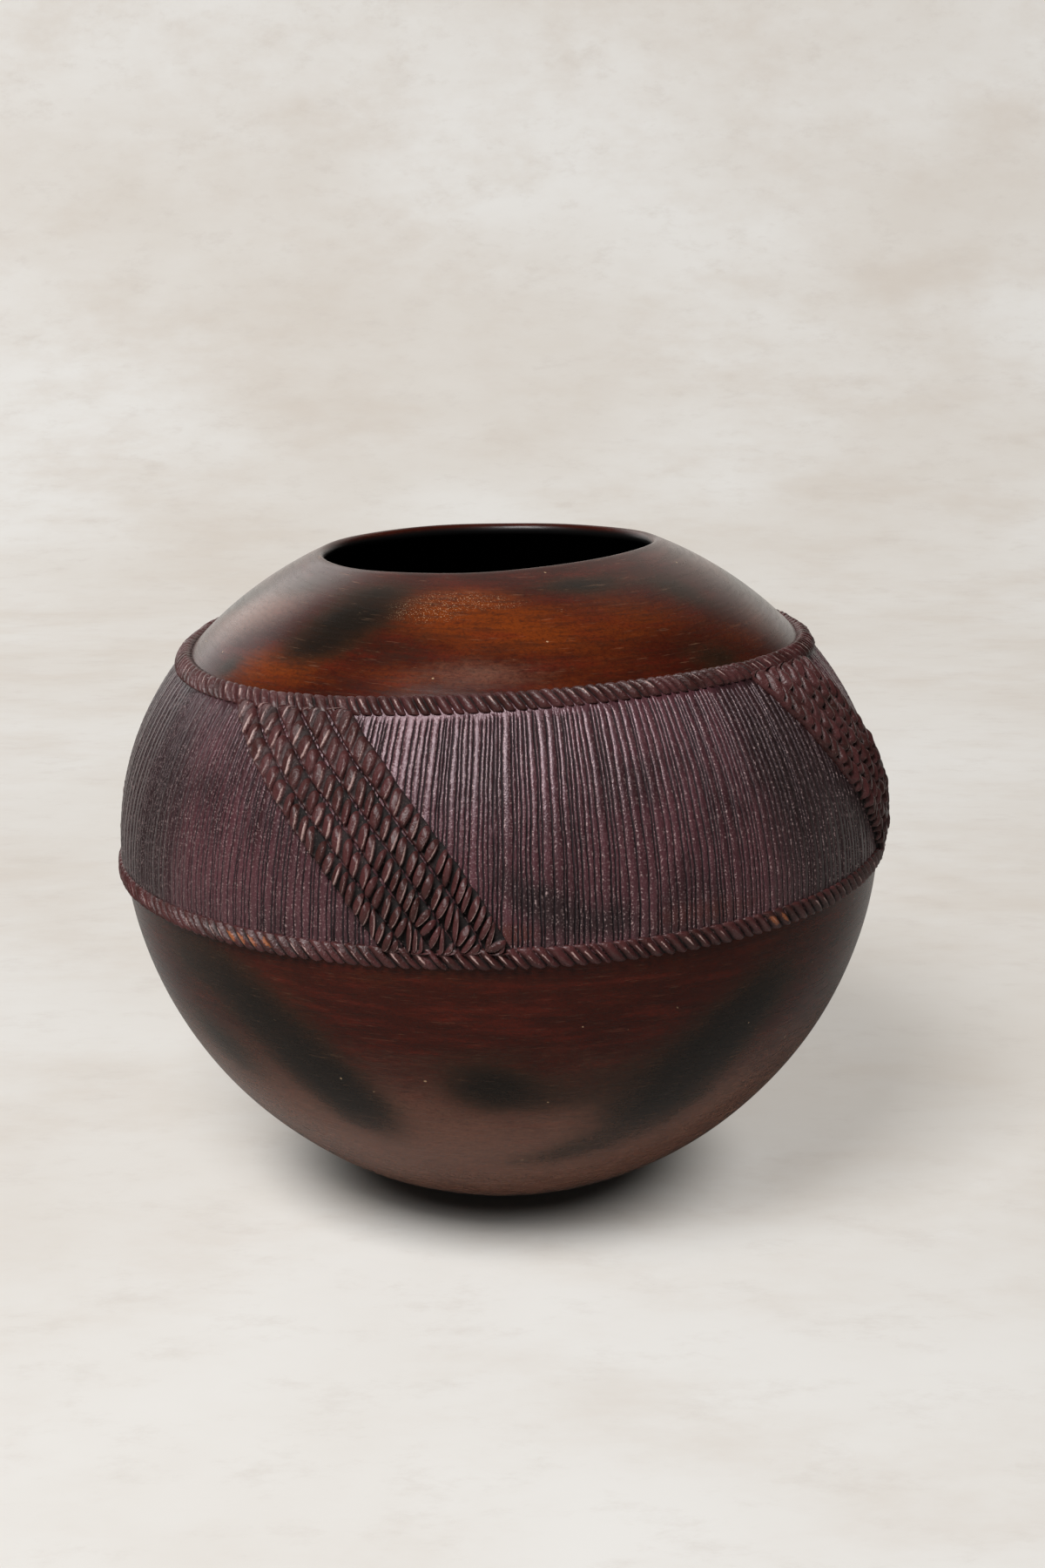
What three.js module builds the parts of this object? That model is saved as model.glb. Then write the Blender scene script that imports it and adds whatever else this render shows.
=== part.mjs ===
// A hand-built clay beer pot, made of the separate pieces of clay that its potter joins:
// a coiled wall, a combed band round the belly, two notched ropes that close the band,
// and twenty notched cords that cross the band in four slanting groups of five.
// Millimetres, +Z up. The middle of the flat foot is the origin, and the front is -Y.
// An angle is measured round the pot from the front, growing towards +X, the right.
import * as THREE from 'three';

// The wall
const bellyRadius = 163.4; // outside of the widest ring
const bellyHeight = 153.7; // widest ring above the foot
const footRadius = 47; // the flat that the pot stands on
const bowlFullness = 1.91; // 2 gives the bowl an elliptical outline, less a leaner one
const mouthRadius = 73.5; // outer edge of the lip
const mouthHeight = 277;
const floorThickness = 9;
const wallThickness = 6.5;
const lipThickness = 5.5;
const lipRound = 2; // how far the rounded lip stands out past its two edges

// The two ropes that lie on the wall, above and below the band
const ropeWidth = 7.4;
const ropeHeight = 2.7;
const ropeNotch = 1.4; // depth of the cuts that give the rope its twist
const upperRopeDrop = 39.9; // middle of the upper rope, below the lip
const upperRopeCuts = 185;
const upperRopeSlant = 4.5; // sideways run of one cut, from the rope's upper to its lower edge
const lowerRopeDrop = 3.3; // middle of the lower rope, below the widest ring
const lowerRopeCuts = 204;
const lowerRopeSlant = 6.2;

// How far each ring laid by hand runs off level: its rise to the right and to the back,
// its twist (right front and left back up) and its saddle (front and back up)
const lipWave = { right: 2.4, back: -1.8, twist: 0.6, saddle: -0.3 };
const upperRopeWave = { right: 2.7, back: 0.4, twist: 2.1, saddle: 1.9 };
const lowerRopeWave = { right: 5.4, back: -0.6, twist: -0.8, saddle: 0.3 };

// The combed band and the notched cords on it
const bandThickness = 1.5; // how far the band stands out from the wall
const cordWidth = 7.9;
const cordGap = 0.5; // between neighbouring cords of one group
const cordHeight = 3.8;
const cordNotch = 2.4; // depth of the hollows between the pellets of a cord
const pelletWaist = 0.78; // width at a hollow, as a share of the width at a pellet
const pelletLean = 3.1; // a pellet's right end is this much higher than its middle
const pelletsPerCord = 21;
const cordsPerGroup = 5;
const groups = [
  { name: 'front_left', topAngle: -35.6, sweep: 28.7, bend: 0.4 },
  { name: 'front_right', topAngle: 59.2, sweep: 21, bend: 0.15 },
  { name: 'back_right', topAngle: 149, sweep: 25, bend: 0.3 },
  { name: 'back_left', topAngle: 237, sweep: 26, bend: 0.3 },
];

// Joints between pieces of clay
const seatGap = 0.3;

// Fineness of the faceted surfaces
const turnSteps = 48;
const outerRows = { bowl: 7, band: 4, shoulder: 4 };
const innerRows = { bowl: 4, band: 2, shoulder: 2 };
const slopeStep = 0.05; // height step for measuring the wall's slope

const clay = {
  burnished: new THREE.MeshStandardMaterial({ color: 0x5b2e1f, roughness: 0.35, metalness: 0 }),
  combed: new THREE.MeshStandardMaterial({ color: 0x36222a, roughness: 0.7, metalness: 0 }),
  rope: new THREE.MeshStandardMaterial({ color: 0x45292c, roughness: 0.55, metalness: 0 }),
  cord: new THREE.MeshStandardMaterial({ color: 0x3d2627, roughness: 0.55, metalness: 0 }),
};

const radians = THREE.MathUtils.degToRad;
const mix = THREE.MathUtils.lerp;
const fullTurn = 2 * Math.PI;

// The outline is a lean half ellipse below the widest ring, cut flat at the foot, and an
// elliptical dome above it, cut open at the mouth.
const footShare = footRadius / bellyRadius;
const bowlDepth = bellyHeight / (1 - footShare ** bowlFullness) ** (1 / bowlFullness);
const mouthShare = mouthRadius / bellyRadius;
const domeHeight = (mouthHeight - bellyHeight) / Math.sqrt(1 - mouthShare ** 2);

function wallRadius(height) {
  const below = height < bellyHeight;
  const reach = below ? bowlDepth : domeHeight;
  const power = below ? bowlFullness : 2;
  const share = Math.abs(height - bellyHeight) / reach;
  return bellyRadius * Math.max(0, 1 - share ** power) ** (1 / power);
}

function wallSlope(height) {
  return (wallRadius(height + slopeStep) - wallRadius(height - slopeStep)) / (2 * slopeStep);
}

// A point that stands off the wall's outer surface by a distance, square to it.
function onWall(angle, height, out) {
  const slope = wallSlope(height);
  const length = Math.hypot(1, slope);
  const radius = wallRadius(height) + out / length;
  const z = height - (out * slope) / length;
  return new THREE.Vector3(radius * Math.sin(angle), -radius * Math.cos(angle), z);
}

// The height that lies a distance further up along the wall's outline.
function alongWall(height, distance) {
  return height + distance / Math.hypot(1, wallSlope(height));
}

// Heights of the lip and of both ropes, which run unevenly round a pot made by hand.
function offLevel(angle, { right, back, twist, saddle }) {
  const tilt = right * Math.sin(angle) - back * Math.cos(angle);
  return tilt + twist * Math.sin(2 * angle) + saddle * Math.cos(2 * angle);
}

function lipLine(angle) {
  return mouthHeight + offLevel(angle, lipWave);
}

function upperRopeLine(angle) {
  return mouthHeight - upperRopeDrop + offLevel(angle, upperRopeWave);
}

function lowerRopeLine(angle) {
  return bellyHeight - lowerRopeDrop + offLevel(angle, lowerRopeWave);
}

// The band fills the wall between the ropes and stops a seat gap short of each.
function bandTop(angle) {
  return alongWall(upperRopeLine(angle), -(ropeWidth / 2 + seatGap));
}

function bandBottom(angle) {
  return alongWall(lowerRopeLine(angle), ropeWidth / 2 + seatGap);
}

function shares(count) {
  return Array.from({ length: count }, (_, index) => index / count);
}

// A closed solid through a stack of closed rings. The stack either joins up with its own
// start, or has each end closed by a fan from one point of its last ring.
function skin(rings, joined) {
  const count = rings[0].length;
  const points = rings.flat();
  const faces = [];
  const ends = joined ? rings.length : rings.length - 1;
  for (let ring = 0; ring < ends; ring += 1) {
    for (let step = 0; step < count; step += 1) {
      const next = (step + 1) % count;
      const a = ring * count + step;
      const b = ring * count + next;
      const c = ((ring + 1) % rings.length) * count + next;
      const d = ((ring + 1) % rings.length) * count + step;
      faces.push([a, b, c], [a, c, d]);
    }
  }
  if (!joined) {
    const last = (rings.length - 1) * count;
    for (let step = 1; step < count - 1; step += 1) {
      faces.push([0, step + 1, step], [last, last + step, last + step + 1]);
    }
  }
  return solid(points, faces);
}

// Faces are turned to point outwards, whichever way the rings ran.
function solid(points, faces) {
  const normal = new THREE.Vector3();
  let volume = 0;
  for (const [a, b, c] of faces) {
    volume += normal.crossVectors(points[b], points[c]).dot(points[a]);
  }
  const outward = volume > 0 ? faces : faces.map(([a, b, c]) => [a, c, b]);
  const geometry = new THREE.BufferGeometry().setFromPoints(points);
  geometry.setIndex(outward.flat());
  geometry.computeVertexNormals();
  return geometry;
}

// The wall: its outer face from foot to mouth, the rounded lip, and the inner face back
// down to the floor. Rows of points follow the band's edges, so band and wall lie parallel.
function clayThickness(height) {
  const low = height < bellyHeight;
  const share = low ? height / bellyHeight : (height - bellyHeight) / (mouthHeight - bellyHeight);
  return low ? mix(floorThickness, wallThickness, share) : mix(wallThickness, lipThickness, share);
}

function wallHeights(angle, rows) {
  const footCrowding = 1.7; // rows lie closer near the foot, where the bowl turns under
  const [low, high, top] = [bandBottom(angle), bandTop(angle), lipLine(angle)];
  const bowl = shares(rows.bowl).map((share) => low * share ** footCrowding);
  const band = shares(rows.band).map((share) => mix(low, high, share));
  const shoulder = shares(rows.shoulder).map((share) => mix(high, top, share));
  return [...bowl, ...band, ...shoulder, top];
}

function wallProfile(angle) {
  const outer = wallHeights(angle, outerRows).map((height) => onWall(angle, height, 0));
  const nose = onWall(angle, alongWall(lipLine(angle), lipRound), -lipThickness / 2);
  const downwards = wallHeights(angle, innerRows).reverse();
  const inner = downwards.map((height) => onWall(angle, height, -clayThickness(height)));
  return [...outer, nose, ...inner];
}

function wallGeometry() {
  const profiles = shares(turnSteps).map((share) => wallProfile(share * fullTurn));
  const rings = profiles[0].map((_, row) => profiles.map((profile) => profile[row]));
  return skin(rings, false);
}

// The combed band: a thin even layer on the wall between the ropes.
function bandGeometry() {
  const rows = [...shares(outerRows.band), 1];
  const rings = shares(turnSteps).map((share) => {
    const angle = share * fullTurn;
    const heights = rows.map((row) => mix(bandBottom(angle), bandTop(angle), row));
    const outer = heights.map((height) => onWall(angle, height, bandThickness));
    const inner = heights.reverse().map((height) => onWall(angle, height, seatGap));
    return [...outer, ...inner];
  });
  return skin(rings, true);
}

// A rope: a flattened coil pressed onto the wall, its outer face cut by slanting notches.
// Its section runs from the upper to the lower edge: [place across, share of the height].
const ropeSection = [[1, 0], [0.55, 1], [-0.55, 1], [-1, 0]];

function ropeGeometry(line, cuts, slant) {
  const rings = shares(2 * cuts).map((share, index) => {
    const notched = index % 2 === 1;
    const height = notched ? ropeHeight - ropeNotch : ropeHeight;
    return ropeSection.map(([across, lift]) => {
      const middle = share * fullTurn;
      const run = slant / (2 * wallRadius(line(middle)));
      const angle = middle - across * run;
      const place = alongWall(line(angle), (across * ropeWidth) / 2);
      return onWall(angle, place, seatGap + lift * height);
    });
  });
  return skin(rings, true);
}

// A point in a slanting group: a share of the way down, then a distance to the right,
// measured square to the cords, and a distance off the wall.
function inGroup(group, down, right, out) {
  const sweep = radians(group.sweep);
  const middle = radians(group.topAngle) + sweep * (down + group.bend * down * (1 - down));
  const height = mix(bandTop(middle), bandBottom(middle), down);
  const radius = wallRadius(height);
  const run = radius * sweep * (1 + group.bend * (1 - 2 * down));
  const fall = (bandTop(middle) - bandBottom(middle)) * Math.hypot(1, wallSlope(height));
  const angle = middle + (right * Math.hypot(run, fall)) / (fall * radius);
  return onWall(angle, mix(bandTop(angle), bandBottom(angle), down), out);
}

// A cord: a ridge cut into leaning pellets. The lean fades out at both ends, where the
// cord is cut along the ropes.
function cordGeometry(group, place) {
  const lean = pelletLean / (mouthHeight - upperRopeDrop - bellyHeight + lowerRopeDrop - ropeWidth);
  const seat = bandThickness + seatGap;
  const rings = [...shares(2 * pelletsPerCord), 1].map((down, index) => {
    const hollow = index % 2 === 0;
    const height = hollow ? cordHeight - cordNotch : cordHeight;
    const half = (cordWidth / 2) * (hollow ? pelletWaist : 1);
    const fade = Math.min(1, down / (2 * lean), (1 - down) / (2 * lean));
    return [-1, 0, 1].map((side) => {
      const right = place * (cordWidth + cordGap) + side * half;
      return inGroup(group, down - side * lean * fade, right, side === 0 ? seat + height : seat);
    });
  });
  return skin(rings, false);
}

function piece(name, geometry, material) {
  const mesh = new THREE.Mesh(geometry, material);
  mesh.name = name;
  return mesh;
}

const pot = new THREE.Group();
pot.add(piece('vessel_wall', wallGeometry(), clay.burnished));
pot.add(piece('combed_belly_band', bandGeometry(), clay.combed));
const upperRope = ropeGeometry(upperRopeLine, upperRopeCuts, upperRopeSlant);
const lowerRope = ropeGeometry(lowerRopeLine, lowerRopeCuts, lowerRopeSlant);
pot.add(piece('upper_rope', upperRope, clay.rope));
pot.add(piece('lower_rope', lowerRope, clay.rope));
for (const group of groups) {
  for (let cord = 0; cord < cordsPerGroup; cord += 1) {
    const place = cord - (cordsPerGroup - 1) / 2;
    pot.add(piece(`${group.name}_cord_${cord + 1}`, cordGeometry(group, place), clay.cord));
  }
}

export default pot;
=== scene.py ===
import bpy
import numpy as np
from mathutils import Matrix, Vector


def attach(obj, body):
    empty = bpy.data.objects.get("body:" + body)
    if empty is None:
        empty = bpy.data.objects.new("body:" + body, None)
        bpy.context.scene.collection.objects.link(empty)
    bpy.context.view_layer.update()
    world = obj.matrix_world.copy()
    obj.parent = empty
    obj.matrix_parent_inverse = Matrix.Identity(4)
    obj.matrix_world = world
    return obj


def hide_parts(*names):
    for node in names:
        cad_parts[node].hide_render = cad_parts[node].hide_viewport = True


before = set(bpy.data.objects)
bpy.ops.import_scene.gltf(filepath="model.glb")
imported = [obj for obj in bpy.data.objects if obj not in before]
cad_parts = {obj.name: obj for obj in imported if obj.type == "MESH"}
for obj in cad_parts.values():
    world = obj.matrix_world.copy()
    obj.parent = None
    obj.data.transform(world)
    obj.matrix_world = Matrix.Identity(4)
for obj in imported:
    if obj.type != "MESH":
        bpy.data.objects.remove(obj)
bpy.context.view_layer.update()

# The lower bowl: the pot's flat foot and round base, coiled by hand from iron-rich clay,
# scraped thin and burnished with a pebble. Firing in the open left black clouds on the rust
# brown. It ends under the middle of the lower rope, where the belly wall goes on.
mm = 0.001
full_turn = 2 * np.pi
belly_radius, belly_height = 163.4 * mm, 153.7 * mm
foot_radius = 47 * mm
bowl_fullness = 1.91  # 2 gives an elliptical outline, less a leaner one
mouth_radius, mouth_height = 73.5 * mm, 277 * mm
floor_thickness, wall_thickness, lip_thickness = 9 * mm, 6.5 * mm, 5.5 * mm
lower_rope_drop = 3.3 * mm  # middle of the lower rope, below the widest ring
lower_rope_wave = np.array([5.4, -0.6, -0.8, 0.3]) * mm  # how it is off level, for off_level()

bowl_depth = belly_height / (1 - (foot_radius / belly_radius) ** bowl_fullness) ** (1 / bowl_fullness)
dome_height = (mouth_height - belly_height) / np.sqrt(1 - (mouth_radius / belly_radius) ** 2)


def wall_radius(height):
    """The outline: a lean half ellipse below the widest ring, an elliptical dome above it."""
    below = height < belly_height
    reach = np.where(below, bowl_depth, dome_height)
    power = np.where(below, bowl_fullness, 2.0)
    share = np.abs(height - belly_height) / reach
    return belly_radius * np.maximum(0, 1 - share**power) ** (1 / power)


def wall_slope(height):
    """How much the radius grows for each metre of height."""
    step = 0.05 * mm
    return (wall_radius(height + step) - wall_radius(height - step)) / (2 * step)


def uneven(seed, turns, climb, waves=14):
    """A smooth random unevenness of about -1 to 1 over the pot: a sum of waves that each go a
    whole number of times round it, up to turns, and climb up to so many radians a metre."""
    draw = np.random.default_rng(seed)
    around = draw.integers(-turns, turns + 1, waves)
    upward = draw.uniform(-climb, climb, waves)
    start = draw.uniform(0, full_turn, waves)

    def at(angle, height):
        total = 0 * (angle + height)
        for wave in range(waves):
            total = total + np.cos(around[wave] * angle + upward[wave] * height + start[wave])
        return total * np.sqrt(2 / waves) / 2

    return at


hand_dents = uneven(seed=3, turns=9, climb=110)
dent_depth = 0.22 * mm
foot_fade = 25 * mm  # below this height the dents fade out, so that the foot stands flat


def on_wall(angle, height, out):
    """A point that stands off the wall's outer face by a distance, square to it. The dents
    that hands left push it in or out, less and less towards the foot."""
    angle, height, out = np.broadcast_arrays(angle, height, out)
    slope = wall_slope(height)
    length = np.hypot(1, slope)
    dent = dent_depth * hand_dents(angle, height) * np.clip(height / foot_fade, 0, 1)
    radius = wall_radius(height) + (out + dent) / length
    z = height - (out + dent) * slope / length
    return np.stack([radius * np.sin(angle), -radius * np.cos(angle), z], -1)


def along_wall(height, distance):
    """The height that lies a distance further up along the outline."""
    return height + distance / np.hypot(1, wall_slope(height))


def off_level(angle, wave):
    """A ring laid by hand: its tilt to the right and back, its twist and its saddle."""
    right, back, twist, saddle = wave
    tilt = right * np.sin(angle) - back * np.cos(angle)
    return tilt + twist * np.sin(2 * angle) + saddle * np.cos(2 * angle)


def lower_rope_line(angle):
    """Height of the lower rope's middle: a level ring and how far it is off level."""
    return belly_height - lower_rope_drop + off_level(angle, lower_rope_wave)


def clay_thickness(height):
    """Thickest at the foot, thinner to the widest ring, and a little thinner to the lip."""
    low = np.clip(height / belly_height, 0, 1)
    high = np.clip((height - belly_height) / (mouth_height - belly_height), 0, 1)
    at_belly = floor_thickness + (wall_thickness - floor_thickness) * low
    return at_belly + (lip_thickness - wall_thickness) * high


def smooth(value, start, end):
    """0 up to start, 1 from end on, and a soft step between."""
    share = np.clip((value - start) / (end - start), 0, 1)
    return share * share * (3 - 2 * share)


def clay_piece(name, rings, joined=False, **marks):
    """A closed skin over a stack of closed rings of points. The stack joins its own start, or
    one face closes each end. Marks are a number for each point, kept for the material."""
    rows, count = rings.shape[:2]
    index = np.arange(rows * count).reshape(rows, count)
    low, high = (index, np.roll(index, -1, 0)) if joined else (index[:-1], index[1:])
    quads = np.stack([low, np.roll(low, -1, 1), np.roll(high, -1, 1), high], -1).reshape(-1, 4)
    points = rings.reshape(-1, 3)
    a, b, c, d = points[quads].transpose(1, 0, 2)
    volume = np.einsum("ij,ij->", np.cross(a, b), c) + np.einsum("ij,ij->", np.cross(a, c), d)
    faces = quads.tolist() + ([] if joined else [index[0, ::-1].tolist(), index[-1].tolist()])
    if volume < 0:
        faces = [face[::-1] for face in faces]
    mesh = bpy.data.meshes.new(name)
    mesh.from_pydata(points.tolist(), [], faces)
    mesh.shade_smooth()
    for mark, values in marks.items():
        attribute = mesh.attributes.new(mark, "FLOAT", "POINT")
        spread = np.broadcast_to(values, (rows, count)).astype(np.float32)
        attribute.data.foreach_set("value", spread.ravel())
    made = bpy.data.objects.new(name, mesh)
    bpy.context.scene.collection.objects.link(made)
    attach(made, "root")
    return made


class Part:
    """A socket of a shader that takes part in sums. Each operation adds its Math node."""

    def __init__(self, finish, socket):
        self.finish, self.socket = finish, socket

    def combine(self, operation, first, second):
        """The node's result for two numbers, each a socket or a plain value."""
        return self.finish.node("Math", {"operation": operation}, {0: first, 1: second})

    def __add__(self, other):
        return self.combine("ADD", self, other)

    def __sub__(self, other):
        return self.combine("SUBTRACT", self, other)

    def __rsub__(self, other):
        return self.combine("SUBTRACT", other, self)

    def __mul__(self, other):
        return self.combine("MULTIPLY", self, other)

    __radd__, __rmul__ = __add__, __mul__


class Finish:
    """A material or a room's light in the making, whose nodes all come from node()."""

    def __init__(self, made):
        made.use_nodes = True
        self.made, self.tree = made, made.node_tree
        self.tree.nodes.clear()

    @property
    def place(self):
        """Where a point lies on its piece, in metres."""
        return self.node("TexCoord", output="Object")

    def node(self, kind, settings=(), inputs=(), output=0):
        """Adds a node. An input that is a Part is linked, any other is set on the socket."""
        made = self.tree.nodes.new("ShaderNode" + kind)
        for key, value in dict(settings).items():
            setattr(made, key, value)
        for key, value in dict(inputs).items():
            if isinstance(value, Part):
                self.tree.links.new(value.socket, made.inputs[key])
            else:
                made.inputs[key].default_value = value
        return Part(self, made.outputs[output] if made.outputs else None)

    def mark(self, name):
        """The number that each point of the mesh keeps under this name."""
        return self.node("Attribute", {"attribute_name": name}, output="Fac")

    def grain(self, scale, stretch=(1, 1, 1), detail=4, roughness=0.5):
        """Noise of about so many blots a metre, drawn out along the axes of small stretch."""
        drawn = self.node("Mapping", inputs={"Vector": self.place, "Scale": stretch})
        sizes = {"Vector": drawn, "Scale": scale, "Detail": detail, "Roughness": roughness}
        return self.node("TexNoise", inputs=sizes)

    def rise(self, value, start, end):
        """0 up to start, 1 from end on, and a soft step between."""
        ends = {"Value": value, "From Min": start, "From Max": end}
        return self.node("MapRange", {"interpolation_type": "SMOOTHSTEP"}, ends)

    def blend(self, amount, first, second):
        """The first colour at an amount of 0, the second at 1, and their mean between."""
        settings = {"data_type": "RGBA", "clamp_factor": True}
        return self.node("Mix", settings, {0: amount, 6: first, 7: second}, output=2)

    def relief(self, height, depth, under=None):
        """Bumps of a depth in metres, laid over those of another relief."""
        inputs = {"Height": height, "Strength": 1.0, "Distance": depth}
        if under:
            inputs["Normal"] = under
        return self.node("Bump", inputs=inputs, output="Normal")

    def close(self, pieces, **surface):
        """Ends the material with its surface and gives it to the pieces."""
        inputs = {key.replace("_", " "): value for key, value in surface.items()}
        self.node("OutputMaterial", inputs={"Surface": self.node("BsdfPrincipled", inputs=inputs)})
        for piece in pieces:
            piece.data.materials.append(self.made)


def ink(red, green, blue):
    """A colour written as it shows on a screen, from 0 to 255, as the light that it means."""
    shown = np.array([red, green, blue]) / 255
    light = np.where(shown <= 0.04045, shown / 12.92, ((shown + 0.055) / 1.055) ** 2.4)
    return (*light.tolist(), 1.0)


def patches(angle, height, places):
    """How strongly soft ellipses mark the clay. Each is an angle, a height, half a length and
    half a width (mm), a tilt from level and a strength, and takes its share of what is clear."""
    clear = 1.0 + 0 * (angle + height)
    for where, level, length, width, tilt, strength in places:
        away = (angle - np.radians(where) + np.pi) % full_turn - np.pi
        right = away * wall_radius(height)
        up = (height - level * mm) * np.hypot(1, wall_slope(height))
        lean = np.radians(tilt)
        along = (right * np.cos(lean) + up * np.sin(lean)) / (length * mm)
        across = (up * np.cos(lean) - right * np.sin(lean)) / (width * mm)
        clear = clear * (1 - strength * np.exp(-(along**2 + across**2) / 1.3))
    return 1 - clear


def unseen_patches(low, high, seed):
    """Random ellipses between two heights (mm), on the sides that the front doesn't show."""
    draw = np.random.default_rng(seed)
    return [
        (where, draw.uniform(low, high), *draw.uniform((16, 11, -50, 0.5), (34, 18, 50, 1)))
        for where in range(95, 290, 22)
    ]


# Where smoke blackened the bowl, as patches() reads it
bowl_clouds = [
    (-49, 131, 20, 13, -25, 0.55),
    (-37, 117, 30, 13, -42, 0.85),
    (-28, 94, 24, 14, -50, 1.0),
    (-23, 76, 18, 12, -55, 0.8),
    (-48, 92, 20, 12, -30, 0.6),
    (-1, 94, 17, 12, -12, 0.95),
    (14, 92, 30, 11, 10, 0.45),
    (39, 119, 20, 13, 40, 0.8),
    (32, 101, 26, 15, 42, 0.95),
    (26, 78, 28, 17, 45, 0.9),
    (11, 54, 26, 10, 15, 0.35),
    *unseen_patches(45, 130, seed=5),
]


def disc(ring, shares):
    """Rings that shrink from a ring towards its middle."""
    middle = ring.mean(0)
    return middle + (ring - middle) * np.array(shares)[:, None, None]


turn = np.arange(360) / 360 * full_turn
bowl_top = lower_rope_line(turn)
foot_shares = (0.05, 0.5, 0.9)  # rings of the flat foot, from its middle out
foot_crowding = 1.4  # rows lie closer near the foot, where the bowl turns under
bowl_row_count, inside_step = 91, 3  # the hidden inside has every third row
ember_rise = (0.112, 0.15)  # heights between which the bowl gets redder
painted_sheen_fall = (0.06, 0.13)  # heights between which the painted sheen on the bowl ends
outside = bowl_top * np.linspace(0, 1, bowl_row_count)[:, None] ** foot_crowding
inside = outside[::-inside_step]
outer_skin = on_wall(turn, outside, 0)
inner_skin = on_wall(turn, inside, -clay_thickness(inside))
foot, floor_inside = disc(outer_skin[0], foot_shares), disc(inner_skin[-1], foot_shares[::-1])
bowl_rows = np.concatenate([outside[[0, 0, 0]], outside, inside, inside[[-1, -1, -1]]])
lower_bowl = clay_piece(
    "lower_bowl",
    np.concatenate([foot, outer_skin, inner_skin, floor_inside]),
    smoke=patches(turn, bowl_rows, bowl_clouds),
    ember=0.2 * smooth(bowl_rows, *ember_rise),
    pitted=0.0,
    # painted sheen: the low bowl is painted paler, as a painted reflection of the lit floor
    dusty=0.8 * (1 - smooth(bowl_rows, *painted_sheen_fall)),
    within=np.arange(len(bowl_rows))[:, None] >= len(foot) + len(outside),
)
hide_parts("vessel_wall")

# The belly wall: the widest part of the same coiled wall, from the lower to the upper rope.
# The combed band covers its outer face, so only its sooty inside shows, through the mouth.
upper_rope_drop = 39.9 * mm  # middle of the upper rope, below the lip
upper_rope_wave = np.array([2.7, 0.4, 2.1, 1.9]) * mm


def upper_rope_line(angle):
    """Height of the upper rope's middle: a level ring and how far it is off level."""
    return mouth_height - upper_rope_drop + off_level(angle, upper_rope_wave)


def between(first, second, shares):
    """Lines round the pot at these shares of the way from the first line to the second."""
    return first + (second - first) * np.array(shares)[:, None]


outside = between(bowl_top, upper_rope_line(turn), np.linspace(0, 1, 13))
inside = between(upper_rope_line(turn), bowl_top, np.linspace(0, 1, 31))
belly_wall = clay_piece(
    "belly_wall",
    np.concatenate([on_wall(turn, outside, 0), on_wall(turn, inside, -clay_thickness(inside))]),
    joined=True,
    smoke=0.0,
    ember=0.0,
    pitted=0.0,
    dusty=0.0,
    within=1.0,
)
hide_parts("vessel_wall")

# The shoulder and the lip: the last coils draw in to the mouth. The outside is burnished to
# a rust orange, the lip is rounded with wet fingers, and soot blackens the inside.
lip_round = 2 * mm  # how far the rounded lip stands up past its two edges
soot_arch = (1.0, 1.8)  # the part of the lip's half turn in which the soot begins
lip_wave = np.array([2.4, -1.8, 0.6, -0.3]) * mm
# Where the shoulder is black, orange, pitted, and painted with a pale sheen, as patches() reads it
shoulder_clouds = [
    (-33, 270, 14, 8, 15, 0.8),
    (-35, 262, 18, 9, 25, 1.0),
    (-38, 253, 17, 8, 20, 0.75),
    (-19, 254, 14, 6, 10, 0.35),
    (23, 274, 18, 5, 0, 0.85),
    (53, 269, 16, 8, -50, 0.5),
    (44, 248, 14, 9, -20, 0.6),
    (-58, 240, 7, 5, 30, 0.7),
    (-62, 268, 16, 8, 20, 0.35),
    *unseen_patches(245, 272, seed=6),
]
orange_places = [
    (-47, 243, 26, 11, 10, 1.0),
    (-10, 268, 24, 13, 0, 1.0),
    (6, 262, 34, 15, 0, 0.85),
    (12, 245, 30, 8, 5, 0.4),
    (35, 262, 26, 14, -20, 0.5),
    (-18, 246, 22, 8, 0, 0.45),
    (60, 250, 18, 8, -20, 0.3),
    *unseen_patches(245, 275, seed=7),
]
# Painted sheen: pale reflections painted at the shoulder's two edges and low in front
dusty_places = [(-2, 248, 26, 7, 0, 0.5), (-68, 258, 26, 18, 30, 0.9), (70, 252, 20, 14, -30, 0.4)]
pitted_places = [(-9, 270, 20, 5, 0, 1.0), (-18, 266, 12, 5, 0, 1.0), (15, 267, 2, 1, 0, 1.0)]

lip = mouth_height + off_level(turn, lip_wave)
outside = between(upper_rope_line(turn), lip, np.linspace(0, 1, 61))
inside = between(lip, upper_rope_line(turn), np.linspace(0, 1, 21))
arch = np.linspace(0, np.pi, 11)[1:-1, None]
lip_middle = -lip_thickness / 2 * (1 - np.cos(arch))
lip_skin = on_wall(turn, along_wall(lip, lip_round * np.sin(arch)), lip_middle)
shoulder_rows = np.concatenate([outside, lip + 0 * arch, inside])
soot_edge = smooth(arch, *soot_arch)
soot = np.concatenate([0 * outside, soot_edge + 0 * lip, 1 + 0 * inside])
outer_skin = on_wall(turn, outside, 0)
inner_skin = on_wall(turn, inside, -clay_thickness(inside))
shoulder = clay_piece(
    "shoulder_and_lip",
    np.concatenate([outer_skin, lip_skin, inner_skin]),
    joined=True,
    smoke=patches(turn, shoulder_rows, shoulder_clouds),
    ember=patches(turn, shoulder_rows, orange_places),
    pitted=patches(turn, shoulder_rows, pitted_places),
    dusty=patches(turn, shoulder_rows, dusty_places),
    within=soot,
)
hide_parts("vessel_wall")
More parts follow.
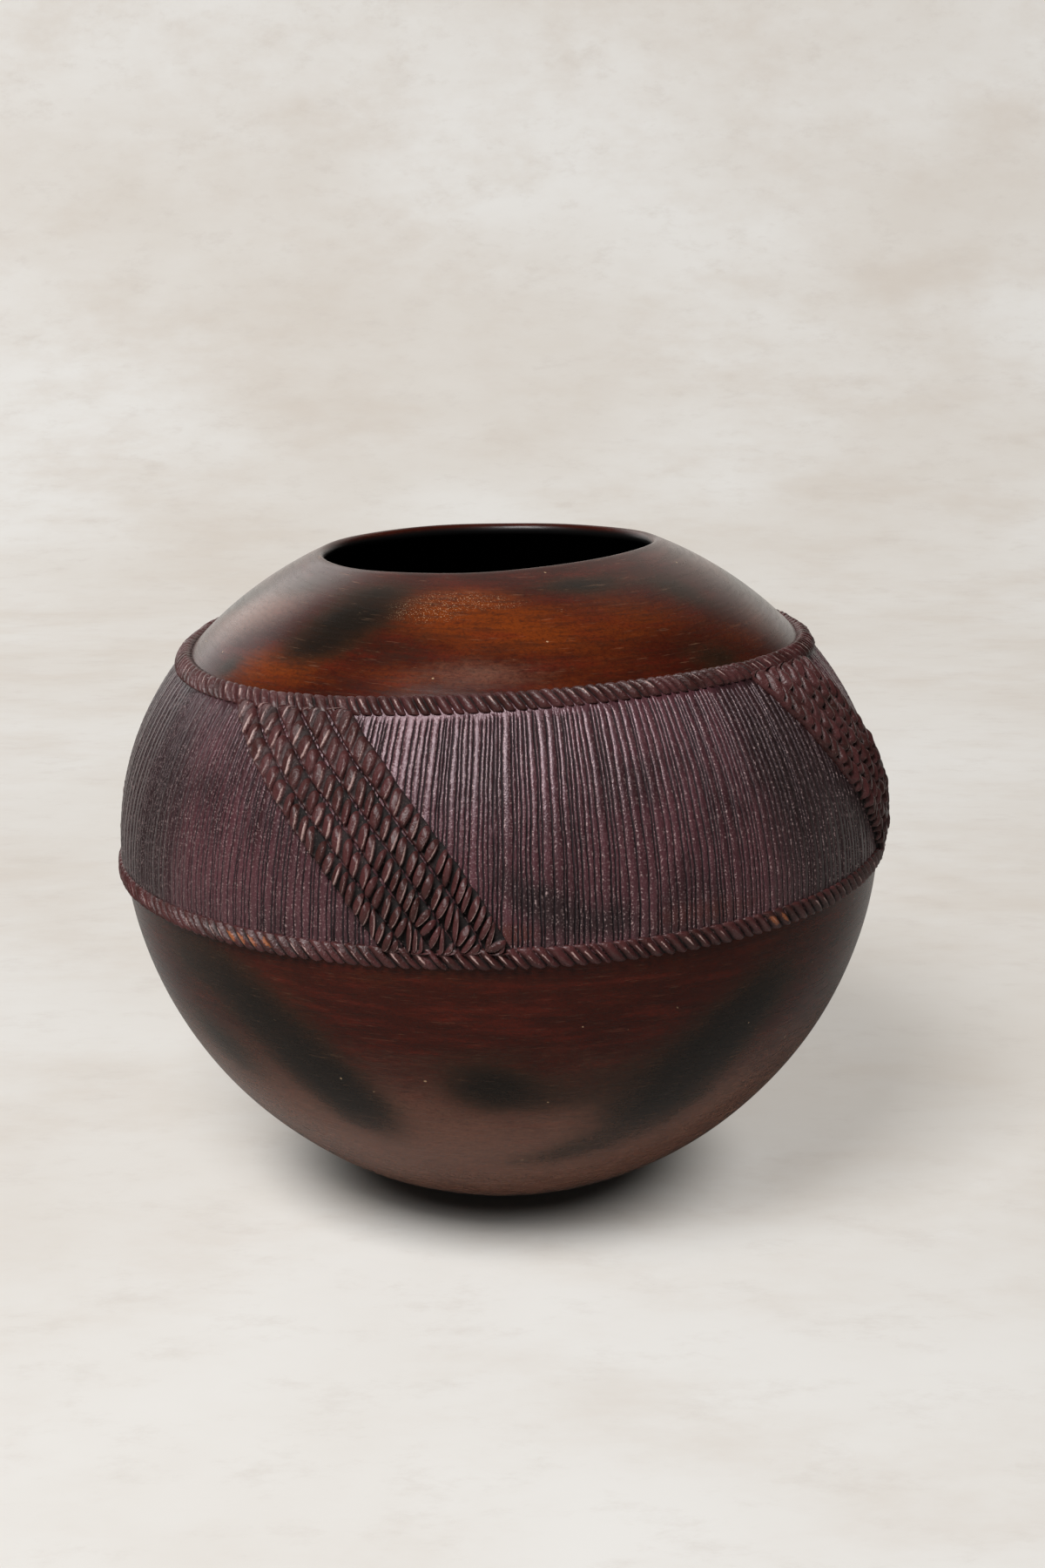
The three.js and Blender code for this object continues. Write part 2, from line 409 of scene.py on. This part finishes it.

# Rust brown with orange places, redder wisps and darker strokes of the pebble, a painted pale sheen,
# then the black clouds, chips and specks of bare clay, fine scratches, and soot on the inside.
burnished = Finish(bpy.data.materials.new("burnished_clay"))
blotch = burnished.grain(1, (26, 26, 60), detail=6, roughness=0.55)
wisps = burnished.grain(1, (40, 40, 260), detail=4)
strokes = burnished.grain(1, (60, 60, 1000), detail=3)
scuffs = burnished.grain(1, (260, 260, 700), detail=6, roughness=0.7)
scratches = burnished.grain(1, (90, 90, 2600), detail=3, roughness=0.6)
mottle = burnished.grain(1, (700, 700, 1500), detail=5, roughness=0.8)
crumb = burnished.grain(2300, detail=2)
warm = burnished.rise(burnished.mark("ember") + (blotch - 0.5) * 0.8 + (scuffs - 0.5) * 0.9, 0.1, 1.0)
clay = burnished.blend(warm, ink(53, 16, 8), ink(104, 45, 13))
clay = burnished.blend(burnished.rise(wisps, 0.45, 0.75) * 0.5, clay, ink(88, 27, 15))
clay = burnished.blend(burnished.rise(strokes + (scuffs - 0.5), 0.4, 0.75) * 0.5, clay, ink(40, 17, 10))
# Painted sheen: pale colour painted where the clay should mirror light
dust = burnished.rise(burnished.mark("dusty") + (blotch - 0.5) * 0.5 + (scuffs - 0.5) * 0.5, 0.1, 1.0)
clay = burnished.blend(dust * 0.75, clay, ink(118, 84, 70))
black = burnished.mark("smoke") + (blotch - 0.5) * 0.6 + (scuffs - 0.5) * 0.5
clay = burnished.blend(burnished.rise(black, 0.02, 0.6) * 0.75, clay, ink(42, 29, 18))
clay = burnished.blend(burnished.rise(black, 0.3, 0.95) * 0.9, clay, ink(20, 17, 13))
pitted = burnished.rise(burnished.mark("pitted") + (wisps - 0.5), 0.25, 0.6)
chips = burnished.rise(crumb, 0.64, 0.68) * pitted
specks = burnished.rise(burnished.grain(300, detail=1), 0.8, 0.82) * 0.5
clay = burnished.blend(chips * 0.75 + specks, clay, ink(206, 174, 136))
clay = burnished.blend(burnished.rise(mottle, 0.45, 0.65) * 0.5, clay, ink(24, 12, 8))
clay = burnished.blend(burnished.rise(scuffs, 0.66, 0.8) * 0.25, clay, ink(150, 110, 84))
clay = burnished.blend(burnished.rise(scratches, 0.62, 0.74) * 0.16, clay, ink(168, 128, 100))
clay = burnished.blend(burnished.mark("within"), clay, ink(11, 10, 10))
burnished.close(
    [lower_bowl, belly_wall, shoulder],
    Base_Color=clay,
    Roughness=strokes * 0.14 + mottle * 0.1 + chips * 0.3 + burnished.mark("within") * 0.1 + 0.14,
    IOR=1.27,
    Normal=burnished.relief(crumb, 0.02 * mm, burnished.relief(strokes, 0.04 * mm)),
)

# The combed band: a thin even layer of clay round the belly, in four fields. While it was
# leather hard it was scored from rope to rope with a toothed tool, about every 2.6 mm.
band_thickness = 1.5 * mm
band_sunk = 0.8 * mm  # how far its back lies in the wall
rope_width = 7.4 * mm
seat_gap = 0.3 * mm  # between pieces that touch
groove_count, groove_depth = 396, 1.1 * mm
groove_ramp = 1.4 * mm  # a groove gets deep over this length, where the comb went in
full_ridge = 1.3 * mm  # where grooves are closer than this, they are narrower too
# From the middle of one groove over the ridge to the next: distance from the nearer groove's
# middle in mm (None is the middle of the ridge), share of the groove's depth, burr
ridge_section = [
    (0, 1, 0), (0.22, 0.9, 0), (0.4, 0.15, 0.3), (0.58, -0.1, 1),
    (None, 0, 0), (-0.58, -0.06, 0.6), (-0.4, 0.15, 0.3), (-0.22, 0.9, 0),
]
field_edges = {"front": (-20, 70), "right": (70, 161), "back": (161, 250), "left": (250, 340)}
# Where smoke blackened the band, painted shade on its sides, and where it is redder, as patches() reads
# it
belly_clouds_and_side_shade = [
    (6, 171, 14, 7, -25, 0.9),
    (14, 164, 14, 7, 0, 0.8),
    (2, 180, 10, 6, -60, 0.5),
    # painted shade: large patches that darken the band's left and right sides
    (-84, 180, 34, 60, 0, 0.95),
    (-64, 180, 38, 75, 0, 0.95),
    (56, 190, 44, 85, 0, 1.0),
    *unseen_patches(165, 225, seed=8),
]
belly_embers = [(2, 161, 8, 4, 0, 1.0), (-10, 160, 30, 6, 0, 0.5), (30, 163, 40, 6, 0, 0.6)]
comb_wobbles = [(27 * mm, 0.14 * mm), (9 * mm, 0.06 * mm), (3.7 * mm, 0.05 * mm)]  # length, sway
comb_sway = 0.25 * mm  # how far neighbouring grooves wander together
grit_height = 0.04 * mm  # usual height of the clay's crumbs
band_rows, back_rows = 92, 7

# Each groove's own pitch, depth, width and start, as a free hand gives them
draw = np.random.default_rng(12)
pitches = draw.uniform(0.4, 1.6, groove_count)
pitches *= full_turn / pitches.sum()
groove_angles = np.cumsum(pitches) - pitches
groove_depths = groove_depth * draw.uniform(0.7, 1.0, groove_count)
groove_widths = draw.uniform(0.8, 1.15, groove_count)
groove_starts = draw.uniform(0, 2.4, groove_count) * mm  # how far below the rope each begins
wobble_starts = draw.uniform(0, full_turn, (len(comb_wobbles), groove_count))
comb_wander = uneven(seed=13, turns=60, climb=160)
groove_rub = uneven(seed=14, turns=150, climb=900)


def band_top(angle):
    """Height of the band's free upper edge, half a rope's width below the upper rope's middle."""
    return along_wall(upper_rope_line(angle), -(rope_width / 2 + seat_gap))


def band_bottom(angle):
    """Height of the band's free lower edge, half a rope's width above the lower rope's middle."""
    return along_wall(lower_rope_line(angle), rope_width / 2 + seat_gap)


def comb_columns(left, right):
    """The columns of points between two angles in degrees: those of each ridge's section, and
    the first groove of the next field. Gives their groove, angle, share of depth and burr."""
    lines = np.flatnonzero((groove_angles - np.radians(left)) % full_turn < np.radians(right - left))
    lines = lines[np.argsort((groove_angles[lines] - np.radians(left)) % full_turn)]
    columns = [(line, *spot) for line in lines for spot in ridge_section]
    columns.append(((lines[-1] + 1) % groove_count, 0, 1, 0))
    line = np.array([column[0] for column in columns])
    middle = np.array([column[1] is None for column in columns])
    offset = np.array([column[1] or 0 for column in columns])
    depth_share, burr = np.array([column[2:] for column in columns]).T[:, :, None]
    on_next = offset < 0
    groove = np.where(on_next, (line + 1) % groove_count, line)
    start = groove_angles[line] + pitches[line] * np.where(on_next, 1, np.where(middle, 0.5, 0))
    narrow = np.minimum(groove_widths[groove], pitches[line] * belly_radius / full_ridge)
    return groove, start + offset * mm * narrow / belly_radius, depth_share, burr


def combed_field(name, left, right):
    """The band between two angles. Its face stands off the wall by the band's thickness, less
    the groove's depth there, and sways with sines of three lengths. Its back is plain."""
    groove, start, depth_share, burr = comb_columns(left, right)
    low, high = lower_rope_line(start)[:, None], upper_rope_line(start)[:, None]
    height = low + (high - low) * np.linspace(0, 1, band_rows)
    groove_angle = groove_angles[groove][:, None]
    sideways = comb_sway * comb_wander(groove_angle, height)
    for (length, sway), phase in zip(comb_wobbles, wobble_starts):
        sideways = sideways + sway * np.sin(full_turn * height / length + phase[groove][:, None])
    angle = start[:, None] + sideways / belly_radius
    from_top = (band_top(start)[:, None] - height) * np.hypot(1, wall_slope(height))
    scored = np.clip((from_top - groove_starts[groove][:, None]) / groove_ramp, 0, 1)
    scored = scored * (0.85 + 0.25 * groove_rub(groove_angle, height))  # uneven pressure
    cut = depth_share * scored
    grit = np.random.default_rng(15).normal(0, grit_height, height.shape)
    grit[0], grit[-1] = 0, 0
    out = band_thickness - cut * groove_depths[groove][:, None] + grit
    back_height = low + (high - low) * np.linspace(1, 0, back_rows)
    back = on_wall(start[:, None], back_height, -band_sunk)
    plain = np.zeros(back_height.shape)
    return clay_piece(
        name,
        np.concatenate([on_wall(angle, height, out), back], 1),
        cut=np.concatenate([np.maximum(cut, 0), plain], 1),
        burr=np.concatenate([burr * scored, plain], 1),
        smoke=np.concatenate([patches(angle, height, belly_clouds_and_side_shade), plain], 1),
        ember=np.concatenate([patches(angle, height, belly_embers), plain], 1),
    )


combed_fields = [combed_field(f"combed_{side}", *edges) for side, edges in field_edges.items()]
for made in combed_fields:
    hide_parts("combed_belly_band")

# Mauve brown in soft blotches, darker streaks down the ridges, redder and smoked places, painted shade
# on the band's two sides, then the grooves in painted shade and painted glints on their burrs' crumbs.
combed = Finish(bpy.data.materials.new("combed_clay"))
blotch = combed.grain(1, (45, 45, 22), detail=6, roughness=0.6)
crumb = combed.grain(1500, detail=2)
streaks = combed.grain(1, (900, 900, 60), detail=3)
lumps = combed.grain(1, (650, 650, 220), detail=4, roughness=0.7)
clay = combed.blend(combed.rise(blotch, 0.35, 0.7), ink(76, 43, 48), ink(46, 22, 25))
clay = combed.blend(combed.rise(streaks, 0.5, 0.75) * 0.5, clay, ink(32, 15, 18))
redder = combed.rise(combed.mark("ember") + (blotch - 0.5) * 0.5, 0.25, 0.9)
clay = combed.blend(redder * 0.7, clay, ink(74, 32, 22))
# The smoke mark also carries the painted shade on the band's two sides
black = combed.rise(combed.mark("smoke") + (blotch - 0.5) * 0.4, 0.15, 0.8)
clay = combed.blend(black * 0.85, clay, ink(24, 15, 15))
# Painted shade: the grooves are painted near black
groove_shade = combed.rise(combed.mark("cut") + (crumb - 0.5) * 0.5, 0.08, 0.5)
clay = combed.blend(groove_shade * 0.98, clay, ink(4, 2, 2))
# Painted glints: highlights painted on the burrs' crumbs, and fainter ones on crumbs anywhere
glint = combed.rise(crumb, 0.54, 0.64) * combed.mark("burr") + combed.rise(crumb, 0.7, 0.76) * 0.35
clay = combed.blend(glint * 0.75, clay, ink(176, 152, 150))
combed.close(
    combed_fields,
    Base_Color=clay,
    Roughness=groove_shade * 0.45 + crumb * 0.2 + 0.27,
    IOR=1.6,
    Specular_Tint=(1.0, 0.8, 0.86, 1.0),
    Normal=combed.relief(crumb, 0.16 * mm, combed.relief(lumps, 0.16 * mm)),
)

# The two ropes: coils of clay rolled between the palms, pressed flat over the edges of the
# band and notched at a slant with a stick, so that each looks like a twisted rope. Where the
# cords meet the upper rope, it is crushed by the fingers that joined them.
rope_sunk = 0.6 * mm  # how far its base lies in the wall
rope_notch = 0.72  # depth of a notch, as a share of the rope's height
notch_pinch = 0.22  # a notch of the full height would make it narrower by this share
lobe_spread = 1.1  # width of a lobe that is pressed flat, as a share of the rope's width
base_reach = (1.3, -0.75)  # its base's upper and lower edge, as shares of half its width
# Each group of cords: its angle at the top, its sweep to the bottom (degrees), and its bend
groups = {
    "front_left": (-35.6, 28.7, 0.4),
    "front_right": (59.2, 21, 0.15),
    "back_right": (149, 25, 0.3),
    "back_left": (237, 26, 0.3),
}
crushed_reach = np.radians(11.5)  # from the middle of a group's top to its two sides
# Places along a lobe, as shares of the way from one notch to the next
lobe_steps = np.array([0, 0.05, 0.12, 0.22, 0.36, 0.5, 0.64, 0.78, 0.88, 0.95])
coil_arc = np.radians(np.linspace(-38, 188, 17))  # round the coil, from its lower to its upper side
# Angle and width in degrees of the lobes that show orange clay where they are chipped
chipped_spots = [(-38.2, 1.4), (-36.3, 1.3), (-34.4, 1.3), (-31.8, 1.2), (39.6, 1.3), (41.5, 0.8)]
rope_rub, rope_rub_depth = uneven(seed=20, turns=260, climb=1500), 0.14 * mm


def clay_rope(name, line, cuts, slant, thick, plump, smooth_top, crushed, seed):
    """A coil round the pot, in rings along its slanted notches. Its section is part of an
    ellipse. A notch takes a share of its height, which grows with the distance from the lobe's
    middle to the power plump. Near the upper edge, smooth_top takes away from the notches."""
    draw = np.random.default_rng(seed)
    jitter = draw.uniform(-0.16, 0.16, cuts)
    edges = (np.arange(cuts) + jitter) / cuts * full_turn
    size = draw.uniform(0.84, 1.0, cuts)
    depth = rope_notch * draw.uniform(0.8, 1.1, cuts)
    if crushed:
        for top, _, _ in groups.values():
            away = np.abs((edges - np.radians(top) + np.pi) % full_turn - np.pi)
            size = np.where(away < crushed_reach, size * draw.uniform(0.55, 1.05, cuts), size)
            depth = np.where(away < crushed_reach, depth * draw.uniform(0.5, 1.3, cuts), depth)
    lobe = np.repeat(np.arange(cuts), len(lobe_steps))
    share = np.tile(lobe_steps, cuts)
    lengths = np.diff(np.append(edges, edges[0] + full_turn))
    middle = (edges[lobe] + lengths[lobe] * share)[:, None]
    fall = (np.abs(2 * share - 1) ** plump)[:, None]
    across = -np.cos(coil_arc)
    worn = smooth(across, 0.55, 0.95) * smooth_top
    notch = fall * depth[lobe][:, None] * (1 - worn)
    lobe_size = (size[lobe] * (1 - share) + size[(lobe + 1) % cuts] * share)[:, None]
    out = thick * (1 + np.sin(coil_arc)) / 2 * (1 - notch) * lobe_size
    out = out + rope_rub_depth * rope_rub(middle, across * rope_width) * (out > thick / 3)
    across = lobe_spread * across * (1 - notch_pinch * notch)
    # Painted highlights on a lobe: along its crest, and a line inside its upper edge
    crest = np.clip(1 - np.abs(share - 0.5) / 0.13, 0, 1)[:, None] * np.exp(-((across / 0.5) ** 2))
    top_edge = (1 - fall) * np.exp(-(((across - 0.4) / 0.16) ** 2))
    rim = (crest + 0.7 * top_edge) * draw.uniform(0.2, 1, cuts)[lobe][:, None]
    # where painted shade will make the notches dark
    hollow_shade = fall * (1 - 0.85 * worn)
    base = np.zeros((len(lobe), 2))
    across = np.concatenate([across, base + base_reach], 1)
    out = np.concatenate([out + seat_gap, base - rope_sunk], 1)
    angle = middle - across * slant / (2 * wall_radius(line(middle)))
    height = along_wall(line(angle), across * rope_width / 2)
    degrees = (np.degrees(middle) + 180) % 360 - 180
    chipped = sum(np.exp(-((degrees - spot) / (0.45 * width)) ** 2) for spot, width in chipped_spots)
    return clay_piece(
        name,
        on_wall(angle, height, out),
        joined=True,
        cut=np.concatenate([hollow_shade, base], 1),
        rim=np.concatenate([rim, base], 1),
        worn=chipped * np.exp(-(((across - 0.05) / 0.55) ** 2)) * (not crushed),
    )


rope_over_band = clay_rope(
    "rope_over_band", upper_rope_line, cuts=185, slant=4.8 * mm, thick=3.8 * mm, plump=2.2,
    smooth_top=0.45, crushed=True, seed=21,
)
rope_under_band = clay_rope(
    "rope_under_band", lower_rope_line, cuts=204, slant=6.2 * mm, thick=3.3 * mm, plump=1.6,
    smooth_top=0.3, crushed=False, seed=22,
)
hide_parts("upper_rope")
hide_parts("lower_rope")

# The cords: short coils laid side by side on the band in slanting groups of five, then cut
# across with a round stick. Between two cuts stands a pellet with a sharp, leaning crest.
cord_width, cord_gap, cord_height = 7.9 * mm, 0.5 * mm, 3.8 * mm
cord_sway = 0.3 * mm  # how far a pellet lies off its cord's middle at most
cord_notch = 0.88  # depth of a full cut, as a share of the cord's height
cord_base = 0.5 * mm  # distance of its base from the wall's face, inside the band
base_sides = (0.9, -0.9)  # its base's right and left edge, as shares of half its width
pellet_lean = 4.4 * mm  # a pellet's right tip is this much higher than its middle
pellets_per_cord, cords_per_group = 21, 5
spare_pellets = 4  # pellets past the cord's two ends, which the lean brings in
points_across = 19  # from a cord's left to its right side
# Down a cord across one pellet: place from its middle, as shares of the half width of its flat
# top and of its steep edge (None is the middle of the cut above it), height, and painted highlight
pellet_section = [
    (None, 0, 0), (-1, -1, 0.03, 0), (-1, 0, 0.66, 0.4), (-0.5, 0, 0.82, 0),
    (0, 0, 0.9, 0), (0.6, 0, 0.96, 0.1), (1, 0, 1.0, 1), (1, 1, 0.1, 0),
]
pellet_edge = 0.06  # how far a steep edge reaches, as a share of the pitch
tuck = 0.02  # how far cords reach under the ropes, as a share of the band
high_side = -0.15  # a pellet is highest left of the cord's middle, where the stick left it
cut_rub, cut_rub_depth = uneven(seed=30, turns=240, climb=1500), 0.18 * mm


def in_group(group, down, right, out):
    """A point in a slanting group: a share of the way down, a distance to the right, square
    to the cords, and a distance off the wall."""
    top, sweep, bend = group
    sweep = np.radians(sweep)
    middle = np.radians(top) + sweep * (down + bend * down * (1 - down))
    drop = band_top(middle) - band_bottom(middle)
    height = band_top(middle) - drop * down
    radius = wall_radius(height)
    run = radius * sweep * (1 + bend * (1 - 2 * down))
    fall = drop * np.hypot(1, wall_slope(height))
    angle = middle + right * np.hypot(run, fall) / (fall * radius)
    height = band_top(angle) + (band_bottom(angle) - band_top(angle)) * down
    return on_wall(angle, height, out + cut_rub_depth * cut_rub(angle, height))


def under_ropes(down):
    """Shares of the way down, where those past the band's edges come closer and closer to a
    line that lies under the rope."""
    past_top, past_bottom = np.minimum(down, 0), np.maximum(down - 1, 0)
    down = np.clip(down, 0, 1) - tuck * (1 - np.exp(past_top / tuck))
    return down + tuck * (1 - np.exp(-past_bottom / tuck))


def pellet_cord(name, group, cord, seed):
    """One cord, in rows across it from its upper end to its lower. Down the cord, a pellet's
    height follows the section. To its left and right it falls with the fourth power of the
    distance from the high side. It is plumpest in the middle, it leans, and each differs."""
    draw = np.random.default_rng(seed)
    count = pellets_per_cord + spare_pellets
    lengths = (1.2 - 0.4 * np.arange(count) / count) * draw.uniform(0.86, 1.14, count)
    edges = np.concatenate([[0], np.cumsum(lengths)]) / lengths.sum()
    edges = edges * (count / pellets_per_cord) - draw.uniform(1.5, 2.5) / pellets_per_cord
    tops = np.array([stage[0] or 0 for stage in pellet_section])
    steeps = np.array([stage[1] if stage[0] is not None else 0 for stage in pellet_section])
    rises, rims = np.array([stage[-2:] for stage in pellet_section]).T
    pellet = np.repeat(np.arange(count), len(pellet_section))
    stage = np.tile(np.arange(len(pellet_section)), count)
    side = np.linspace(-1, 1, points_across)
    # Half a flat top's width, as a share of the pitch: a lens that is widest in the middle
    plump = draw.uniform(0.28, 0.38, count)[pellet][:, None] * (1 - np.abs(side) ** 2.3) ** 0.6
    share = 0.5 + tops[stage][:, None] * plump + steeps[stage][:, None] * pellet_edge
    share = np.where(stage[:, None] == 0, 0, share)
    down = edges[pellet][:, None] * (1 - share) + edges[pellet + 1][:, None] * share
    at_middle = down[:, points_across // 2]
    kept = (at_middle > -0.08) & (at_middle < 1.08)
    pellet, stage, down = pellet[kept], stage[kept], down[kept]
    own = draw.uniform(-1, 1, (6, count))[:, pellet, None]  # how each pellet differs
    deep = 0.75 + 0.25 * smooth(down, 0.15, 0.5)  # the upper cuts are shallower
    wild = smooth(down, 0.8, 0.9)  # the last pellets are small and jumbled
    climb = rises[stage][:, None] * (1 + 0.22 * own[0] * side + 0.2 * own[1] * tops[stage][:, None])
    border = smooth(-side, 0.6, 0.85) * (1 - smooth(down, 0.4, 0.65))  # uncut left edge, up high
    ridge = np.clip(climb + (0.7 - climb) * border, 0, 1.15)
    tall = 0.93 + 0.08 * own[2] - wild * 0.18 * (1 + own[3])
    tall = tall * (0.5 + 0.5 * smooth(np.minimum(down, 1 - down), -0.02, 0.05))  # low under ropes
    far_side = np.where(side < high_side, -1, 1)
    reach = (side - high_side) / (far_side - high_side)
    dome = (1 - reach**4) ** 0.8
    lift = dome * (1 - cord_notch * deep * (1 - ridge)) * tall
    lean = pellet_lean * (1 + 0.15 * own[4] + 0.5 * wild * own[5])
    lean = lean / (mouth_height - upper_rope_drop - belly_height + lower_rope_drop - rope_width)
    place = (cord - (cords_per_group - 1) / 2) * (cord_width + cord_gap) + cord_sway * own[1]
    rows = under_ropes(down - side * lean)
    base = np.zeros((len(down), 2))
    out = np.concatenate([band_thickness + seat_gap + cord_height * lift, base + cord_base], 1)
    rows = np.concatenate([rows, rows[:, [-2, 1]]], 1)
    right = place + np.append(side, base_sides) * cord_width / 2
    # where painted shade will make the cuts dark
    hollow_shade = np.clip(1 - ridge, 0, 1) * deep
    # the painted highlight, brightest at the crest
    bright = rims[stage][:, None] * (0.7 + 0.3 * own[3]) * dome
    return clay_piece(
        name,
        in_group(group, rows, right, out),
        cut=np.concatenate([hollow_shade, base], 1),
        rim=np.concatenate([bright, base], 1),
        worn=0.0,
    )


notched_pieces = [rope_over_band, rope_under_band]
for group_name, group in groups.items():
    for cord in range(cords_per_group):
        name = f"{group_name}_pellets_{cord + 1}"
        made = pellet_cord(name, group, cord, seed=[31, len(notched_pieces)])
        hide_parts(f"{group_name}_cord_{cord + 1}")
        notched_pieces.append(made)

# Red brown, with painted highlights on the crests of the pellets and lobes, painted shade that makes
# the cuts near black, pale crumbs and a few chips of orange clay.
notched = Finish(bpy.data.materials.new("notched_clay"))
blotch = notched.grain(70, detail=5)
crumb = notched.grain(1500, detail=2)
lumps = notched.grain(420, detail=4, roughness=0.7)
clay = notched.blend(notched.rise(blotch, 0.35, 0.7), ink(72, 38, 38), ink(52, 25, 22))
# Painted shade: the notches and cuts are painted near black
hollow_shade = notched.rise(notched.mark("cut") + (crumb - 0.5) * 0.5 + (blotch - 0.5) * 0.4, 0.4, 1.0)
# Painted highlights: pale colour along the crests of the lobes and pellets
edge = notched.rise(notched.mark("rim") + (crumb - 0.5) * 0.8, 0.35, 0.8)
clay = notched.blend(edge * 0.8, clay, ink(176, 148, 142))
clay = notched.blend(hollow_shade * 0.97, clay, ink(7, 3, 2))
clay = notched.blend(notched.rise(crumb, 0.66, 0.74) * 0.35, clay, ink(160, 134, 128))
chips = notched.rise(notched.mark("worn") + (crumb - 0.5), 0.3, 0.5)
clay = notched.blend(chips * 0.6, clay, ink(160, 92, 50))
notched.close(
    notched_pieces,
    Base_Color=clay,
    Roughness=hollow_shade * 0.5 + crumb * 0.2 + 0.25,
    IOR=1.42,
    Normal=notched.relief(crumb, 0.16 * mm, notched.relief(lumps, 0.5 * mm)),
)

# The studio: a pale sweep of painted canvas that runs from the floor up behind the pot, one
# large soft lamp high in front, a weak one behind on the left, and a camera a little above
# the mouth. The canvas shows to the camera as pale far away as near the pot, but lights the
# pot no more than a dim room does, and it glows softly in the shadow, as a photo lifts it.
sweep_width, sweep_front, sweep_back, sweep_top = 9.0, -5.0, 2.2, 5.0
bend_radius = 1.0
corner = np.linspace(0, np.pi / 2, 25)
bend_y = sweep_back - bend_radius * (1 - np.sin(corner))
bend_z = bend_radius * (1 - np.cos(corner))
bend = np.stack([bend_y, bend_z], 1)
line = np.concatenate([[[sweep_front, 0]], bend, [[sweep_back, sweep_top]]])
points = [(x, y, z) for x in (-sweep_width / 2, sweep_width / 2) for y, z in line]
faces = [(k, k + len(line), k + len(line) + 1, k + 1) for k in range(len(line) - 1)]
mesh = bpy.data.meshes.new("canvas_sweep")
mesh.from_pydata(points, [], faces)
mesh.shade_smooth()
sweep = bpy.data.objects.new("canvas_sweep", mesh)
bpy.context.scene.collection.objects.link(sweep)

canvas = Finish(bpy.data.materials.new("pale_canvas"))
cloudy = canvas.rise(canvas.grain(1.6, (1, 1, 2), detail=7, roughness=0.6), 0.32, 0.68)
brushed = canvas.grain(1, (5, 9, 7), detail=7, roughness=0.65)
smeared = canvas.grain(1, (22, 40, 30), detail=8, roughness=0.75)
tone = canvas.blend(cloudy, ink(226, 219, 210), ink(238, 235, 230))
tone = canvas.blend(canvas.rise(brushed, 0.42, 0.75) * 0.5, tone, ink(216, 204, 191))
tone = canvas.blend(canvas.rise(smeared, 0.5, 0.72) * 0.35, tone, ink(212, 203, 194))
aside = canvas.node("SeparateXYZ", inputs={"Vector": canvas.place}, output="X")
depth = canvas.node("SeparateXYZ", inputs={"Vector": canvas.place}, output="Y")
away = canvas.node("VectorMath", {"operation": "LENGTH"}, {0: canvas.place}, output="Value")
shaded = canvas.blend(0.66, tone, ink(0, 0, 0))  # so dark that the shadow on it stays soft
to_camera = canvas.node("LightPath", output="Is Camera Ray")
mirrored = canvas.node("LightPath", output="Is Glossy Ray")
# Places on the canvas, in metres: far behind the pot, clear of the shadow at its foot, and
# behind it but not far aside, which is what the pot's edges mirror
far, near = canvas.rise(depth, -0.2, 1.4), canvas.rise(away, 0.06, 0.118)
behind = far * (1 - canvas.rise(aside * aside, 0.8, 4.0))
# What the light that bounces between canvas and pot finds: pale near the pot, dark further off
unlit = canvas.blend(canvas.rise(away, 0.6, 1.4), tone, ink(40, 38, 36))
glow = (near * 0.55 + far * 0.13) * to_camera + behind * mirrored * 0.95
canvas.close(
    [sweep],
    Base_Color=canvas.blend(to_camera + mirrored, unlit, shaded),
    Roughness=0.9,
    Emission_Color=canvas.blend(glow, ink(0, 0, 0), tone),
    Emission_Strength=1.0,
)

pot_middle = 0.15  # the height that the lamps are turned to


def softbox(name, place, size, watts):
    """A square lamp that shines on the middle of the pot and doesn't show itself."""
    lamp = bpy.data.lights.new(name, "AREA")
    lamp.size, lamp.energy = size, watts
    made = bpy.data.objects.new(name, lamp)
    made.location = place
    towards = Vector((0, 0, pot_middle)) - Vector(place)
    made.rotation_euler = towards.to_track_quat("-Z", "Y").to_euler()
    made.visible_camera = False
    bpy.context.scene.collection.objects.link(made)


softbox("high_front_lamp", (-0.62, -1.28, 2.0), 0.9, 75)
softbox("left_back_lamp", (-1.3, 1.8, 1.0), 1.4, 9)
bpy.context.scene.world = bpy.data.worlds.new("room")
room = Finish(bpy.context.scene.world)
# The room looks bright to the camera but gives little light
strength = room.node("LightPath", output="Is Camera Ray") * 0.85 + 0.07
light = {"Color": ink(228, 224, 220), "Strength": strength}
room.node("OutputWorld", inputs={"Surface": room.node("Background", inputs=light)})
bpy.context.scene.view_settings.view_transform = "Standard"

camera_data = bpy.data.cameras.new("camera")
camera_data.sensor_width, camera_data.lens = 36, 49.86
camera = bpy.data.objects.new("camera", camera_data)
camera.location = (0.00903, -0.91508, 0.4264)
camera.rotation_euler = (np.radians(74.48), 0, 0)
bpy.context.scene.collection.objects.link(camera)
bpy.context.scene.camera = camera
